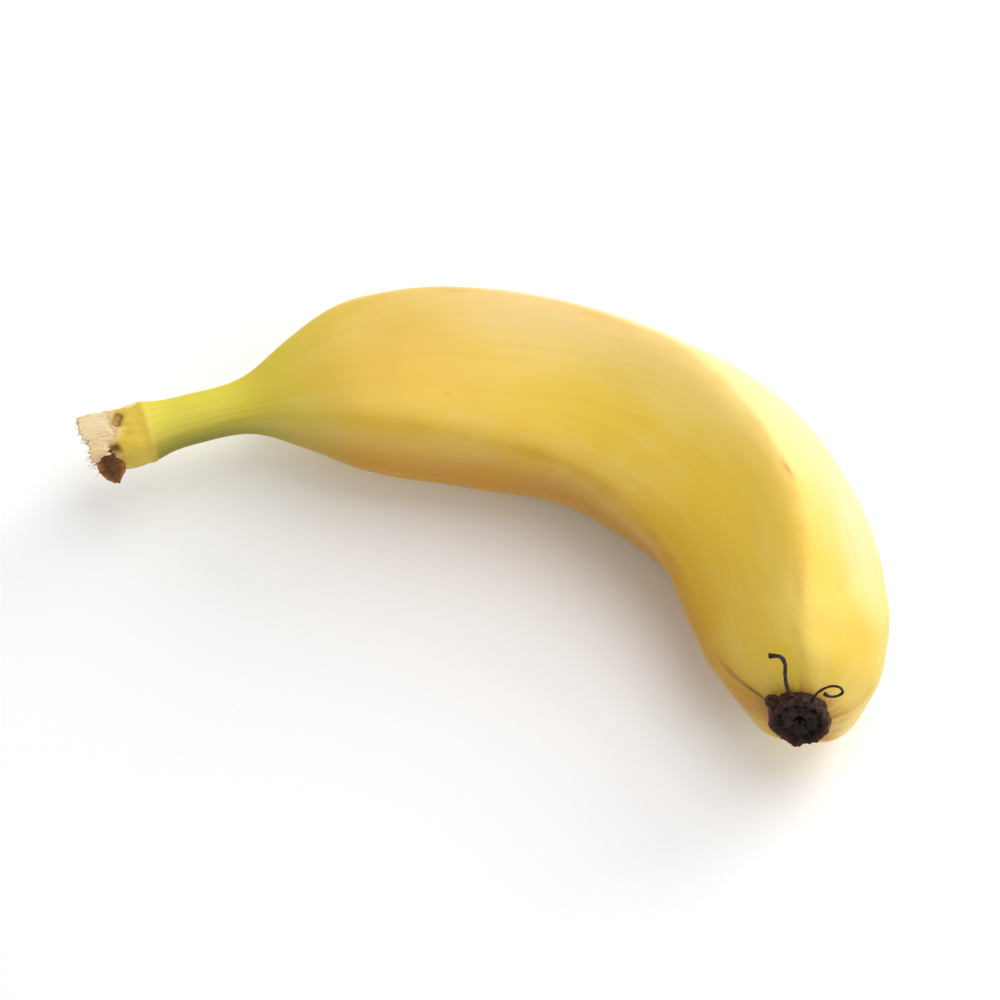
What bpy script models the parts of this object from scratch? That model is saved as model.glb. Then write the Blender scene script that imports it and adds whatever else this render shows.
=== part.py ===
"""A whole ripe banana lying on its side, with its torn stalk heel and the dried flower at its tip.

Units are metres and +Z is up. The stalk lies toward -X, the flower end toward +X, and the hollow
side of the bow faces -Y. The fruit is one loft along a curved centreline. Its section is a
five-ridged rounded polygon. The finished fruit rests on small flats at Z = 0.
"""

import math

import bmesh
import bpy
import numpy as np
from mathutils import Matrix, Vector

MM = 0.001

# Lengths along the centreline
STALK_LENGTH = 34.0 * MM  # torn heel to the start of the neck
BODY_LENGTH = 152.2 * MM  # start of the neck to the seat of the dried flower
HEEL_LENGTH = 13.0 * MM  # torn heel to the swollen collar

# Radii before the ridges and faces are formed
HEEL_RADIUS = 5.8 * MM
COLLAR_RADIUS = 5.8 * MM
STALK_RADIUS = 4.85 * MM
BODY_RADIUS = 20.8 * MM
TIP_RADIUS = 5.4 * MM

# How full the body is at each share of its length, as a share of BODY_RADIUS
FULLNESS = (
    (0.06, 0.51), (0.12, 0.735), (0.19, 0.865), (0.295, 0.93), (0.445, 0.945), (0.595, 1.0),
    (0.72, 0.96), (0.83, 0.915), (0.916, 0.795), (0.97, 0.575), (0.989, 0.395),
)

# Bow of the centreline: its heading in the plane of the bow, and its climb out of that plane,
# in degrees at each share of the whole length
HEADING = (
    (0.0, 48), (0.116, 39), (0.242, 35), (0.369, 21), (0.52, 9),
    (0.671, -17), (0.818, -49), (0.944, -64), (1.0, -80),
)
CLIMB = ((0.0, 0), (0.65, 0), (0.84, -2), (0.93, 7), (1.0, 25))

# Where the five ridges stand round the section, in degrees from the outer side of the bow
# toward its upper side, at each share of the whole length
RIDGE_SHARES = (0.30, 0.50, 0.70, 0.85, 0.93)
RIDGES = (
    (-28, -18, -2, 14, 26),
    (38, 50, 72, 88, 100),
    (137, 147, 160, 169, 170),
    (200, 210, 224, 236, 244),
    (268, 278, 294, 306, 314),
)
RIDGE_REACH = 1.13  # corner of the sharp pentagon, as a share of the radius
ROUNDING = 6.5  # higher makes sharper ridges

# Torn heel of the stalk
TEAR_DEPTH = 3.0 * MM
TEAR_REACH = 6.0 * MM  # how far along the stalk the tear is felt
FLAP_REACH = 4.6 * MM  # the dried flap of crown that sticks out of the heel
FLAP_AT = 3.4 * MM
FLAP_WIDTH = 2.6 * MM
FLAP_SIDE = 203.0  # degrees round the section
FLAP_SPREAD = 30.0

# Rest
REST_TILT = 2.3  # degrees that the outer side of the bow is raised
REST_ROLL = 0.0  # degrees that the stalk end is raised
FLAT_DEPTH = 0.15 * MM  # depth of the flats that the fruit lies on

# Dried flower
CLEARANCE = 0.3 * MM  # gap between pieces that touch
CUP_RADIUS = 5.7 * MM
CUP_HEIGHT = 3.0 * MM
CUP_WALL = 1.7 * MM
CUP_FLOOR = 1.6 * MM
CUP_RAGGED = 0.5 * MM  # how far the rim rises and falls
CUP_SLANT = 0.25  # how much taller the cup is at its lower side, as a share of its height
CUP_ACROSS = -1.2 * MM  # the cup sits a little off the middle of its seat
CUP_RISE = 2.0 * MM
RIM_SHARE = 0.86  # radius of the rim's edge, as a share of CUP_RADIUS
FILAMENT_THICKNESS = 0.9 * MM

# The two dried filaments: the degrees round the cup where each leaves the rim, and its route from
# there, in millimetres across, up and out
HOOK_ROOT = 115.0
HOOK_ROUTE = (
    (0.0, 0.0, 0.0), (-1.1, 1.9, 0.2), (-2.0, 4.0, 0.3), (-2.6, 6.1, 0.2), (-3.1, 8.2, 0.0),
    (-4.0, 9.4, -0.3), (-5.2, 9.3, -0.5), (-6.3, 8.8, -0.6),
)
LOOP_ROOT = 75.0
LOOP_ROUTE = (
    (0.0, 0.0, 0.0), (0.0, 1.5, 0.2), (0.4, 3.0, 0.3), (1.4, 4.4, 0.2), (2.8, 5.4, 0.1),
    (4.1, 5.5, 0.1), (4.8, 4.6, 0.2), (4.3, 3.5, 0.4), (3.1, 3.5, 0.9),
)

AROUND = 36  # points round one ring of the fruit
WHOLE_LENGTH = STALK_LENGTH + BODY_LENGTH


def smooth(stations, at):
    """Values of a smooth curve through (place, value) stations."""
    x, y = np.array(stations, float).T
    slope = np.gradient(y, x)
    k = np.clip(np.searchsorted(x, at) - 1, 0, len(x) - 2)
    width = x[k + 1] - x[k]
    f = (at - x[k]) / width
    return (
        y[k] * (1 + 2 * f) * (1 - f) ** 2
        + y[k + 1] * f * f * (3 - 2 * f)
        + width * f * (1 - f) * (slope[k] * (1 - f) - slope[k + 1] * f)
    )


def radius_stations():
    """(place along the centreline, radius) from the torn heel to the flower."""
    return (
        (0.0, HEEL_RADIUS),
        (0.5 * HEEL_LENGTH, HEEL_RADIUS),
        (HEEL_LENGTH, COLLAR_RADIUS),
        (HEEL_LENGTH + 0.2 * (STALK_LENGTH - HEEL_LENGTH), 1.04 * STALK_RADIUS),
        (HEEL_LENGTH + 0.45 * (STALK_LENGTH - HEEL_LENGTH), STALK_RADIUS),
        (STALK_LENGTH, 1.2 * STALK_RADIUS),
        *((STALK_LENGTH + share * BODY_LENGTH, full * BODY_RADIUS) for share, full in FULLNESS),
        (WHOLE_LENGTH, TIP_RADIUS),
    )


def ring_places():
    """Places of the rings, closer together where the fruit is thin or its radius changes fast."""
    places, at = [0.0], 0.0
    while at < WHOLE_LENGTH - 0.6 * MM:
        radius = smooth(radius_stations(), at)
        at += min(max(0.24 * radius, 1.4 * MM), 3.8 * MM, 0.9 * MM + 0.16 * (WHOLE_LENGTH - at))
        places.append(at)
    places = np.array(places)
    return places * WHOLE_LENGTH / places[-1]


def centreline(places):
    """Points of the centreline with, at each, the directions along, outward and upward."""
    share = places / WHOLE_LENGTH
    heading = np.radians(smooth(HEADING, share))
    climb = np.radians(smooth(CLIMB, share))
    along = np.stack(
        [np.cos(heading) * np.cos(climb), np.sin(heading) * np.cos(climb), np.sin(climb)], 1
    )
    out = np.stack([-np.sin(heading), np.cos(heading), 0 * heading], 1)
    steps = np.diff(places)[:, None] * (along[1:] + along[:-1]) / 2
    points = np.concatenate([np.zeros((1, 3)), np.cumsum(steps, 0)])
    return points, along, out, np.cross(along, out)


def section(share, angles):
    """Radii of the five-ridged section round a unit circle, at one share of the whole length."""
    share = min(max(share, RIDGE_SHARES[0]), RIDGE_SHARES[-1])
    corners = [math.radians(float(smooth(tuple(zip(RIDGE_SHARES, ridge)), share))) for ridge in RIDGES]
    corner = RIDGE_REACH * np.stack([np.cos(corners), np.sin(corners)], 1)
    edge = np.roll(corner, -1, 0) - corner
    normal = np.stack([edge[:, 1], -edge[:, 0]], 1)
    normal /= np.linalg.norm(normal, axis=1)[:, None]
    distance = (normal * corner).sum(1)
    facing = np.stack([np.cos(angles), np.sin(angles)], 1) @ normal.T / distance
    return (np.maximum(facing, 0) ** ROUNDING).sum(1) ** (-1 / ROUNDING)


def tear(angles):
    """How far the torn end stands out of its middle round the section, from -1 to 1."""
    return (
        0.6 * np.cos(angles - math.radians(100))
        + 0.25 * np.cos(3 * angles + 0.7)
        + 0.15 * np.cos(7 * angles)
    )


def rest_turn():
    tilt = Matrix.Rotation(math.radians(REST_TILT), 4, "X")
    return Matrix.Rotation(math.radians(REST_ROLL), 4, "Y") @ tilt


def bridge(bm, rings):
    """Quads between rings of the same number of points."""
    for low, high in zip(rings, rings[1:]):
        for i in range(len(low)):
            j = (i + 1) % len(low)
            bm.faces.new((low[i], low[j], high[j], high[i]))


def fan(bm, ring, centre, turned):
    """Triangles from a ring to the point at its centre."""
    middle = bm.verts.new(centre)
    for i in range(len(ring)):
        a, b = ring[i], ring[(i + 1) % len(ring)]
        bm.faces.new((b, a, middle) if turned else (a, b, middle))


def fruit_mesh():
    """Loft of the whole fruit in its rest attitude, before it is set on its flats."""
    places = ring_places()
    points, along, out, up = centreline(places)
    radii = smooth(radius_stations(), places)
    angles = np.arange(AROUND) * 2 * math.pi / AROUND
    turn = rest_turn()
    bm = bmesh.new()
    rings = []
    for place, point, t, o, u, radius in zip(places, points, along, out, up, radii):
        reach = radius * section(place / WHOLE_LENGTH, angles)
        away = (np.degrees(angles) - FLAP_SIDE + 180) % 360 - 180
        reach += FLAP_REACH * np.exp(-((away / FLAP_SPREAD) ** 2) - ((place - FLAP_AT) / FLAP_WIDTH) ** 2)
        felt = max(0.0, 1 - place / TEAR_REACH) ** 2
        back = -TEAR_DEPTH * felt * tear(angles)
        ring = point + reach[:, None] * (np.cos(angles)[:, None] * o + np.sin(angles)[:, None] * u)
        ring = ring + back[:, None] * t
        rings.append([bm.verts.new(turn @ Vector(p)) for p in ring])
    bridge(bm, rings)
    fan(bm, rings[0], turn @ Vector(points[0] + 0.3 * TEAR_DEPTH * along[0]), True)
    bm.faces.new(rings[-1])
    bmesh.ops.recalc_face_normals(bm, faces=bm.faces)
    return bm


def lay_flat(bm):
    """Cuts the flats that the fruit rests on, and returns their height."""
    level = min(v.co.z for v in bm.verts) + FLAT_DEPTH
    everything = bm.verts[:] + bm.edges[:] + bm.faces[:]
    bmesh.ops.bisect_plane(
        bm, geom=everything, dist=0.00001, plane_co=(0, 0, level), plane_no=(0, 0, -1), clear_outer=True
    )
    for vertex in bm.verts:
        vertex.co.z = max(vertex.co.z, level)
    open_edges = [edge for edge in bm.edges if edge.is_boundary]
    bmesh.ops.holes_fill(bm, edges=open_edges, sides=0)
    bmesh.ops.recalc_face_normals(bm, faces=bm.faces)
    return level


def cup_frame():
    """Matrix that puts the dried flower's own axes on the seat at the tip of the fruit."""
    places = ring_places()
    points, along, out, up = centreline(places)
    turn = rest_turn()
    axis = (turn.to_3x3() @ Vector(along[-1])).normalized()
    across = Vector((0, 0, 1)).cross(axis).normalized()
    frame = Matrix((across, axis.cross(across), axis)).transposed().to_4x4()
    seat = turn @ Vector(points[-1])
    frame.translation = seat + CUP_ACROSS * across + CUP_RISE * axis.cross(across)
    return frame


def cup_height(share, radius, angle, ragged):
    """Height above the seat of a point of the cup, from its share of the cup's height."""
    slanted = share * CUP_HEIGHT * (1 - CUP_SLANT * math.sin(angle) * radius / CUP_RADIUS)
    wavy = CUP_RAGGED * (0.6 * math.cos(5 * angle + 0.4) + 0.4 * math.cos(9 * angle))
    return CLEARANCE + slanted + ragged * wavy


def cup_mesh():
    """The dried flower: a thick ragged cup turned about +Z, hollow toward its open end."""
    around = 28
    angles = [2 * math.pi * i / around for i in range(around)]
    inner = CUP_RADIUS - CUP_WALL
    profile = (  # radius, share of the height, share of the rim's raggedness
        (0.80 * CUP_RADIUS, 0.0, 0.0),
        (0.97 * CUP_RADIUS, 0.22, 0.0),
        (CUP_RADIUS, 0.55, 0.3),
        (0.95 * CUP_RADIUS, 0.90, 0.8),
        (RIM_SHARE * CUP_RADIUS, 1.0, 1.0),
        (inner, 0.92, 0.8),
        (0.82 * inner, CUP_FLOOR / CUP_HEIGHT, 0.0),
    )
    bm = bmesh.new()
    rings = []
    for radius, share, ragged in profile:
        ring = []
        for angle in angles:
            reach = radius * (1 + 0.035 * math.cos(5 * angle + 1.0) + 0.02 * math.cos(8 * angle))
            height = cup_height(share, radius, angle, ragged)
            ring.append(bm.verts.new((reach * math.cos(angle), reach * math.sin(angle), height)))
        rings.append(ring)
    bridge(bm, rings)
    fan(bm, rings[0], (0, 0, CLEARANCE), True)
    fan(bm, rings[-1], (0, 0, CLEARANCE + CUP_FLOOR - 0.3 * MM), False)
    bmesh.ops.recalc_face_normals(bm, faces=bm.faces)
    return bm


def material(name, colour, roughness):
    """A Principled material in one colour."""
    made = bpy.data.materials.new(name)
    made.use_nodes = True
    shader = made.node_tree.nodes["Principled BSDF"]
    shader.inputs["Base Color"].default_value = (*colour, 1)
    shader.inputs["Roughness"].default_value = roughness
    shader.inputs["Metallic"].default_value = 0
    made.diffuse_color = (*colour, 1)
    return made


def add_mesh_object(name, bm, look, frame=None):
    """Turns a bmesh into a smooth-shaded object."""
    mesh = bpy.data.meshes.new(name)
    bm.to_mesh(mesh)
    bm.free()
    mesh.shade_smooth()
    mesh.set_sharp_from_angle(angle=math.radians(40))
    mesh.materials.append(look)
    obj = bpy.data.objects.new(name, mesh)
    if frame:
        obj.matrix_world = frame
    bpy.context.scene.collection.objects.link(obj)
    return obj


def add_filament(name, root, route, look, frame):
    """A dried filament: a round thread with closed ends, from its root on the cup's rim."""
    curve = bpy.data.curves.new(name, "CURVE")
    curve.dimensions = "3D"
    curve.bevel_depth = FILAMENT_THICKNESS / 2
    curve.bevel_resolution = 1
    curve.use_fill_caps = True
    places = np.linspace(0, 1, len(route))
    fine = np.linspace(0, 1, 3 * len(route))
    across, rise, outward = (smooth(tuple(zip(places, values)), fine) * MM for values in zip(*route))
    edge = RIM_SHARE * CUP_RADIUS
    near = [math.radians(root + step) for step in (-12, -6, 0, 6, 12)]
    rim = max(cup_height(1.0, edge, angle, 1.0) for angle in near) + CLEARANCE + FILAMENT_THICKNESS / 2
    across += edge * math.cos(near[2])
    rise += edge * math.sin(near[2])
    spline = curve.splines.new("POLY")
    spline.points.add(len(fine) - 1)
    for point, x, y, z in zip(spline.points, across, rise, outward):
        point.co = (x, y, rim + z, 1)
    curve.materials.append(look)
    obj = bpy.data.objects.new(name, curve)
    obj.matrix_world = frame
    bpy.context.scene.collection.objects.link(obj)
    return obj


def limits(pieces):
    """Lowest and highest coordinates of all the pieces together."""
    graph = bpy.context.evaluated_depsgraph_get()
    points = []
    for piece in pieces:
        mesh = piece.evaluated_get(graph).to_mesh()
        points += [piece.matrix_world @ vertex.co for vertex in mesh.vertices]
    return np.min(points, axis=0), np.max(points, axis=0)


def main():
    for obj in list(bpy.data.objects):
        bpy.data.objects.remove(obj, do_unlink=True)

    peel = material("ripe_peel", (0.78, 0.53, 0.09), 0.45)
    dried = material("dried_flower", (0.025, 0.012, 0.008), 0.8)

    body = fruit_mesh()
    level = lay_flat(body)
    frame = cup_frame()
    pieces = [
        add_mesh_object("fruit", body, peel),
        add_mesh_object("flower_remnant", cup_mesh(), dried, frame),
        add_filament("filament_hooked", HOOK_ROOT, HOOK_ROUTE, dried, frame),
        add_filament("filament_looped", LOOP_ROOT, LOOP_ROUTE, dried, frame),
    ]

    # The origin goes below the middle of the whole banana, on the surface it lies on
    home = bpy.data.objects.new("banana", None)
    bpy.context.scene.collection.objects.link(home)
    for piece in pieces:
        piece.parent = home
    low, high = limits(pieces)
    middle = (low + high) / 2
    home.location = (-middle[0], -middle[1], -level)


main()
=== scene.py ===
"""Looks of a whole ripe banana that lies on its side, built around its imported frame.

The peel is lofted again along the frame's own centreline, finely enough to carry the collar, the
torn heel, the puckered tip and the seat of the dried flower. The flower, its threads, the dried
flap of crown and the loose fibres are pieces of their own. Everything is in metres, +Z up.
"""

import math

import bmesh
import bpy
import numpy as np
from mathutils import Matrix, Vector, noise


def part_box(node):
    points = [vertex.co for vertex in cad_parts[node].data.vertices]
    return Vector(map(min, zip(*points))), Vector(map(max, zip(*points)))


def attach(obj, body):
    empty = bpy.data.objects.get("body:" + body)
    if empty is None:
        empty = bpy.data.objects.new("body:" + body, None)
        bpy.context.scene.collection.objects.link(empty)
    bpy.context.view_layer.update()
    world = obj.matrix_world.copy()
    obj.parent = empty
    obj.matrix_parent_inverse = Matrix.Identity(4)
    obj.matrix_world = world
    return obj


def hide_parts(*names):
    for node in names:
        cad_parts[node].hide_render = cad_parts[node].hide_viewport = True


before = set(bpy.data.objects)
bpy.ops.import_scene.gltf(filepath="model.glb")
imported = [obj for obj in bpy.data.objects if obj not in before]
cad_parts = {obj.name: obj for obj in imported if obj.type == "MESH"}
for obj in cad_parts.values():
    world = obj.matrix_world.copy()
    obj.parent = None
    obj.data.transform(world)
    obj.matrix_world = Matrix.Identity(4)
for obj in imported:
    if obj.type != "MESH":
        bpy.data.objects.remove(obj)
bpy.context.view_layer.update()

bl_info = {
    "name": "Ripe Banana",
    "version": (1, 0, 0),
    "blender": (4, 5, 0),
    "location": "3D View > Sidebar > Banana",
    "description": "Builds the peel, torn heel and dried flower of a ripe banana around its frame",
    "category": "Add Mesh",
}

MM = 0.001

# How full the body is at each share of its length, as a share of its radius
FULLNESS = (
    (0.06, 0.51), (0.12, 0.735), (0.19, 0.865), (0.295, 0.93), (0.445, 0.945), (0.595, 1.0),
    (0.72, 0.96), (0.83, 0.915), (0.916, 0.795), (0.97, 0.575), (0.989, 0.395),
)

# Bow of the centreline: heading in the plane of the bow, and climb out of that plane, in degrees
HEADING = (
    (0.0, 48), (0.116, 39), (0.242, 35), (0.369, 21), (0.52, 9),
    (0.671, -17), (0.818, -49), (0.944, -64), (1.0, -80),
)
CLIMB = ((0.0, 0), (0.65, 0), (0.84, -2), (0.93, 7), (1.0, 25))

# Where the five ridges stand round the section, in degrees, at each share of the whole length
RIDGE_SHARES = (0.30, 0.50, 0.70, 0.85, 0.93)
RIDGES = (
    (-28, -18, -2, 14, 26),
    (38, 50, 72, 88, 100),
    (137, 147, 160, 169, 170),
    (200, 210, 224, 236, 244),
    (268, 278, 294, 306, 314),
)
RIDGE_REACH = 1.13  # corner of the sharp pentagon, as a share of the radius
ROUNDING = 8.0  # higher makes sharper ridges

# Peel grid: points round a ring, and the gap between rings at both ends and along the body
SKIN_AROUND = 216
FINE_GAP = 0.45 * MM
BODY_GAP = 0.95 * MM

# How the fruit lies, in degrees, and the depth of the flats that it lies on
REST_TILT = 2.3
REST_ROLL = 0.0
FLAT_DEPTH = 0.15 * MM

HEEL_RISE = 2.0 * MM  # how far the torn end bends back
HEEL_BEND = 10.0 * MM  # length of the stretch that bends

# Marks on the peel: place along the fruit in mm, degrees round it, half length and half width in
# mm, and the mark's slant in degrees
SCARS = (
    (141.4, 75, 1.7, 0.45, 12), (163.5, 64, 0.35, 0.28, 0), (74.0, 121, 0.3, 0.2, 20),
    (104.0, 100, 0.25, 0.2, 0), (118.0, 24, 1.9, 0.35, -6), (88.0, 318, 2.4, 0.5, 8),
    (134.0, 262, 1.3, 0.6, 0),
)
CRACK = (7.9, 61, 1.5, 0.72, 56)
GASH = (5.0, 134, 1.2, 1.0, 10)

# Masks that the peel's mesh carries for its material
PEEL_MASKS = (
    "green", "under", "warm", "wax_and_painted_sheen", "inner", "ridge", "torn", "edge", "scar", "dark", "halo", "heel",
)

# Dried flower: its gap and its place on the seat are the frame's
CLEARANCE = 0.3 * MM
CUP_SLANT = 0.15
CUP_ACROSS = -1.2 * MM
CUP_RISE = 2.0 * MM

# Routes of the two threads from their roots on the rim, in millimetres across, up and out
HOOK_ROOT = 115.0
HOOK_ROUTE = (
    (0.0, 0.0, -0.6), (-1.1, 1.9, 0.3), (-2.0, 4.0, 0.4), (-2.6, 6.1, 0.3), (-3.1, 8.2, 0.0),
    (-4.0, 9.4, -0.3), (-5.2, 9.3, -0.5), (-6.3, 8.8, -0.6),
)
LOOP_ROOT = 75.0
LOOP_ROUTE = (
    (0.0, 0.0, -0.6), (0.0, 1.5, 0.3), (0.4, 3.0, 0.4), (1.4, 4.4, 0.3), (2.8, 5.3, 0.2), (4.1, 5.2, 0.2),
    (4.7, 4.3, 0.3), (4.0, 3.3, 0.5), (2.6, 3.0, 0.8), (1.5, 3.6, 1.0),
)


# Sizes and colours that a user would change


def linear(hexadecimal):
    """An sRGB hex colour as linear RGBA."""
    parts = [int(hexadecimal[i : i + 2], 16) / 255 for i in (1, 3, 5)]
    return (*(c / 12.92 if c <= 0.04045 else ((c + 0.055) / 1.055) ** 2.4 for c in parts), 1.0)


def length(name, description, default_mm):
    return bpy.props.FloatProperty(
        name=name, description=description, default=default_mm * MM, min=0, unit="LENGTH", precision=5
    )


def colour(name, description, default):
    return bpy.props.FloatVectorProperty(
        name=name, description=description, default=linear(default), subtype="COLOR", size=4, min=0, max=1
    )


def place(name, description, default_mm):
    return bpy.props.FloatProperty(
        name=name, description=description, default=default_mm * MM, unit="LENGTH", precision=5
    )


def number(name, description, default):
    return bpy.props.FloatProperty(name=name, description=description, default=default, min=0)


def angle(name, description, degrees):
    return bpy.props.FloatProperty(
        name=name, description=description, default=math.radians(degrees), subtype="ANGLE"
    )


class BananaShape(bpy.types.PropertyGroup):
    """Sizes of the fruit: those of the loft are the frame's, and the dried flower is a little lower."""

    stalk_length: length("Stalk length", "From the torn heel to the start of the neck", 34.0)
    body_length: length("Body length", "From the neck to the seat of the dried flower", 152.2)
    heel_length: length("Heel length", "From the torn heel to the swollen collar", 13.0)
    heel_radius: length("Heel radius", "Radius of the torn heel", 5.8)
    collar_radius: length("Collar radius", "Radius of the stalk at the collar", 5.8)
    stalk_radius: length("Stalk radius", "Radius of the stalk's waist", 4.85)
    body_radius: length("Body radius", "Greatest radius of the body", 20.8)
    tip_radius: length("Tip radius", "Radius of the seat of the dried flower", 5.4)
    skin_edge: length("Skin edge", "How far from the heel's end the skin is torn away", 5.6)
    cup_radius: length("Cup radius", "Radius of the dried flower", 5.7)
    cup_height: length("Cup height", "Height of the dried flower above its seat", 2.6)
    cup_wall: length("Cup wall", "Thickness of the dried flower's wall", 1.7)
    thread_thickness: length("Thread thickness", "Thickness of the hooked thread", 0.9)
    fine_thread: length("Fine thread", "Thickness of the looped thread", 0.6)
    flap_length: length("Flap length", "Length of the dried flap of crown", 6.8)
    flap_width: length("Flap width", "Width of the dried flap of crown", 5.4)


class BananaColours(bpy.types.PropertyGroup):
    """Colours of the peel and of the dried pieces, given as sRGB hex values."""

    ripe: colour("Ripe", "Main colour of the ripe peel", "#EBC640")
    pale: colour("Pale", "Paler patches of the peel", "#F0D262")
    warm: colour("Warm", "Warm, peachy patches near the neck", "#F0C45A")
    # Painted sheen: a paler, peachy colour on the outer side that stands in for the soft highlight of the
    # lights
    wax_and_painted_sheen: colour("Bloom", "Peachy wax bloom of the outer side", "#F2CFA0")
    # Deep yellow of the fibre streaks and ridges, also used as painted shade along the inner side
    deep_yellow_and_painted_shade: colour("Deep", "Deeper yellow along the inner side", "#C0820E")
    stalk: colour("Stalk", "Lime yellow of the stalk and neck", "#E2D44A")
    # Olive of the stalk's streaks, also used as painted shade on the stalk's underside
    olive_and_painted_shade: colour("Olive", "Green that is left in the stalk", "#7E7C08")
    heel: colour("Heel", "Amber of the heel beyond the collar", "#DDBC46")
    pith: colour("Pith", "Torn, fibrous tissue", "#F2DDB0")
    tan: colour("Tan", "Dry edges of the torn tissue", "#C89455")
    scar: colour("Scar", "Scars and rust marks", "#A8632A")
    dark: colour("Dark", "Dark cracks", "#2E1710")
    flower: colour("Flower", "Dried flower, inside", "#190C06")
    flower_wall: colour("Flower wall", "Dried flower, wall and rim", "#5A2A14")
    thread: colour("Thread", "Dried threads", "#4C342C")
    crown: colour("Crown", "Dried flap of crown", "#44220F")
    crown_edge: colour("Crown edge", "Edges of the dried flap", "#C8843E")


class BananaStage(bpy.types.PropertyGroup):
    """Camera, lights and floor."""

    azimuth: angle("Azimuth", "Direction that the camera looks from, round the fruit", 16.24)
    elevation: angle("Elevation", "Height of the camera above the floor, as an angle", 65.42)
    roll: angle("Roll", "Turn of the camera about its own axis", 6.67)
    distance: length("Distance", "From the camera to its target", 512.4)
    target_x: place("Target X", "Point that the camera looks at, along the fruit", 0.62)
    target_y: place("Target Y", "Point that the camera looks at, across the fruit", -7.98)
    target_z: place("Target Z", "Point that the camera looks at, above the floor", 15.0)
    lens: number("Lens", "Focal length in millimetres", 93.6)
    key_power: number("Key", "Power of the large key light", 3.3)
    sheen_power: number("Sheen", "Power of the low light at the side", 4.6)
    fill_power: number("Fill", "Power of the weak light in front", 1.6)
    room: number("Room", "Strength of the pale room's light", 0.56)
    floor: colour("Floor", "Colour of the matt paper floor", "#FFFFFF")


# Shape of the fruit


def smooth(stations, at):
    """Values of a smooth curve through (place, value) stations."""
    x, y = np.array(stations, float).T
    slope = np.gradient(y, x)
    k = np.clip(np.searchsorted(x, at) - 1, 0, len(x) - 2)
    width = x[k + 1] - x[k]
    f = (at - x[k]) / width
    return (
        y[k] * (1 + 2 * f) * (1 - f) ** 2
        + y[k + 1] * f * f * (3 - 2 * f)
        + width * f * (1 - f) * (slope[k] * (1 - f) - slope[k + 1] * f)
    )


def whole_length(shape):
    return shape.stalk_length + shape.body_length


def radius_stations(shape):
    """(place along the centreline, radius) from the torn heel to the flower."""
    rest = shape.stalk_length - shape.heel_length
    body = [(shape.stalk_length + s * shape.body_length, f * shape.body_radius) for s, f in FULLNESS]
    return (
        (0.0, shape.heel_radius),
        (0.5 * shape.heel_length, shape.heel_radius),
        (shape.heel_length, shape.collar_radius),
        (shape.heel_length + 0.2 * rest, 1.04 * shape.stalk_radius),
        (shape.heel_length + 0.45 * rest, shape.stalk_radius),
        (shape.stalk_length, 1.2 * shape.stalk_radius),
        *body,
        (whole_length(shape), shape.tip_radius),
    )


def centreline(shape, places):
    """Points of the centreline with, at each, the directions along, outward and upward."""
    share = places / whole_length(shape)
    heading = np.radians(smooth(HEADING, share))
    climb = np.radians(smooth(CLIMB, share))
    along = np.stack(
        [np.cos(heading) * np.cos(climb), np.sin(heading) * np.cos(climb), np.sin(climb)], 1
    )
    out = np.stack([-np.sin(heading), np.cos(heading), 0 * heading], 1)
    steps = np.diff(places)[:, None] * (along[1:] + along[:-1]) / 2
    points = np.concatenate([np.zeros((1, 3)), np.cumsum(steps, 0)])
    return points, along, out, np.cross(along, out)


def ridge_angles(share):
    """Where the five ridges stand round the section, in radians, for each share of the length."""
    share = np.clip(share, RIDGE_SHARES[0], RIDGE_SHARES[-1])
    return np.radians(np.stack([smooth(tuple(zip(RIDGE_SHARES, ridge)), share) for ridge in RIDGES], -1))


def section(share, angles):
    """Radii of the five-ridged section round a unit circle, at one share of the whole length."""
    corners = ridge_angles(share)
    corner = RIDGE_REACH * np.stack([np.cos(corners), np.sin(corners)], 1)
    edge = np.roll(corner, -1, 0) - corner
    normal = np.stack([edge[:, 1], -edge[:, 0]], 1)
    normal /= np.linalg.norm(normal, axis=1)[:, None]
    distance = (normal * corner).sum(1)
    facing = np.stack([np.cos(angles), np.sin(angles)], 1) @ normal.T / distance
    return (np.maximum(facing, 0) ** ROUNDING).sum(1) ** (-1 / ROUNDING)


def rest_turn():
    tilt = Matrix.Rotation(math.radians(REST_TILT), 4, "X")
    return np.array(Matrix.Rotation(math.radians(REST_ROLL), 4, "Y") @ tilt)[:3, :3]


def plain_loft(shape, places, angles):
    """Rings of the fruit before any fine relief, turned to its rest attitude, and their axes."""
    points, along, out, up = centreline(shape, places)
    points[:, 1] += HEEL_RISE * (1 - step(places, 0, HEEL_BEND))
    radii = smooth(radius_stations(shape), places)
    share = places / whole_length(shape)
    reach = np.stack([r * section(s, angles) for r, s in zip(radii, share)])
    spokes = np.cos(angles)[None, :, None] * out[:, None] + np.sin(angles)[None, :, None] * up[:, None]
    turn = rest_turn().T
    return (points[:, None] + reach[..., None] * spokes) @ turn, spokes @ turn, points @ turn, along @ turn


def home_shift(shape):
    """How far the loft moves so that the fruit lies where the frame's fruit does."""
    places = np.linspace(0, whole_length(shape), 300)
    rings = plain_loft(shape, places, np.linspace(0, 2 * math.pi, 72, endpoint=False))[0]
    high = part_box("fruit")[1]
    top = rings.reshape(-1, 3).max(0)
    lowest = rings[..., 2].min() + FLAT_DEPTH
    return np.array([high.x - top[0], high.y - top[1], -lowest])


def bump(x, middle, width):
    """A smooth hump of height 1 round a middle value."""
    return np.exp(-(((x - middle) / width) ** 2))


def step(x, start, end):
    """Rises smoothly from 0 at start to 1 at end."""
    f = np.clip((x - start) / (end - start), 0, 1)
    return f * f * (3 - 2 * f)


def turn_between(a, b):
    """Signed angle from b to a, in degrees."""
    return (a - b + 180) % 360 - 180


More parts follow.
